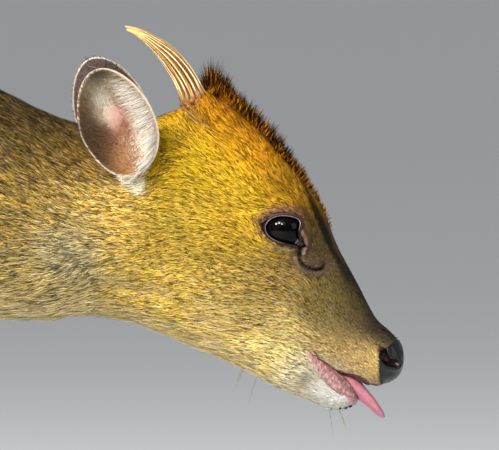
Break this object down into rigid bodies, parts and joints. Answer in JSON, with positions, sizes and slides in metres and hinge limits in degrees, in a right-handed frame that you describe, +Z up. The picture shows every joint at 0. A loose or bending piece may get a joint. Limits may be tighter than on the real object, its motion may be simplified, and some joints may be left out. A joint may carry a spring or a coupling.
{
  "type": "muntjac",
  "caption": "Standing life-size small deer, a buck, with its head lowered, tongue out, short spike antlers and cupped ears.",
  "frame": {"origin": "on the floor, under the middle of the animal's outline", "axes": "+X forward to the nose, +Y to the animal's left, +Z up"},
  "size_m": [0.8352, 0.154, 0.4874],
  "materials": {
    "coat": "short ticked golden-brown hair",
    "tail": "longer chestnut hair, white below",
    "ear": "thin furred skin, pink inside",
    "horn": "polished ridged antler, darker at the burr",
    "eye": "wet and nearly black",
    "tongue": "moist pink",
    "hoof": "dark smooth hoof horn"
  },
  "bodies": {
    "root": {"antler_left": "horn", "antler_right": "horn", "dewclaw_foreleg_left_inner": "hoof", "dewclaw_foreleg_left_outer": "hoof", "dewclaw_foreleg_right_inner": "hoof", "dewclaw_foreleg_right_outer": "hoof", "dewclaw_hindleg_left_inner": "hoof", "dewclaw_hindleg_left_outer": "hoof", "dewclaw_hindleg_right_inner": "hoof", "dewclaw_hindleg_right_outer": "hoof", "ear_left": "ear", "ear_right": "ear", "eye_left": "eye", "eye_right": "eye", "foreleg_left": "coat", "foreleg_right": "coat", "head": "coat", "hindleg_left": "coat", "hindleg_right": "coat", "hoof_foreleg_left_inner": "hoof", "hoof_foreleg_left_outer": "hoof", "hoof_foreleg_right_inner": "hoof", "hoof_foreleg_right_outer": "hoof", "hoof_hindleg_left_inner": "hoof", "hoof_hindleg_left_outer": "hoof", "hoof_hindleg_right_inner": "hoof", "hoof_hindleg_right_outer": "hoof", "neck": "coat", "tail": "tail", "tongue": "tongue", "torso": "coat"}
  },
  "joints": []
}
